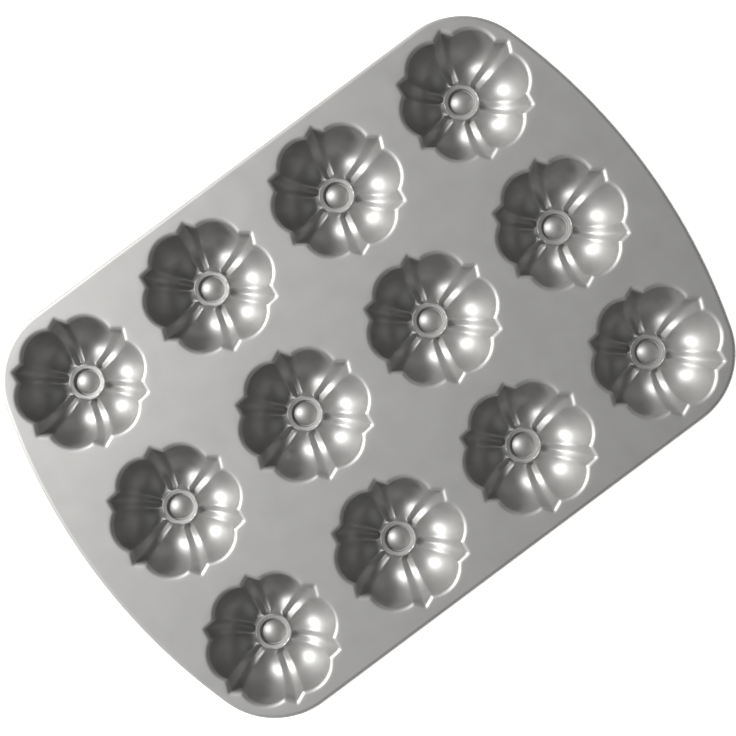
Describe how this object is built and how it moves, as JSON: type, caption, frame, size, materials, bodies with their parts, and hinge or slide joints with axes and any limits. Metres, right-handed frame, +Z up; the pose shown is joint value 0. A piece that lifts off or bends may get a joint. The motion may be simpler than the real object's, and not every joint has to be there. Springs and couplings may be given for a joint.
{
  "type": "mini bundt pan",
  "caption": "Flat cast baking tray with bowed ends and a grid of small fluted cake cups, each with rounded lobes, narrow pointed ribs and a low domed centre.",
  "frame": {"origin": "on the surface that the pan stands on, under the middle of the tray", "axes": "+X along the long side, +Y along the short side, +Z up, out of the cups' mouths"},
  "size_m": [0.404, 0.2846, 0.0305],
  "materials": {
    "cup": "satin grey release coat over cast metal, fine grain, glossier on the flutes",
    "deck": "matt silver grey release coat over cast metal, very fine grain",
    "rim": "matt silver grey release coat over cast metal, very fine grain"
  },
  "bodies": {
    "root": {"cup_a1": "cup", "cup_a2": "cup", "cup_a3": "cup", "cup_b1": "cup", "cup_b2": "cup", "cup_b3": "cup", "cup_c1": "cup", "cup_c2": "cup", "cup_c3": "cup", "cup_d1": "cup", "cup_d2": "cup", "cup_d3": "cup", "deck": "deck", "rim_skirt": "rim"}
  },
  "joints": []
}
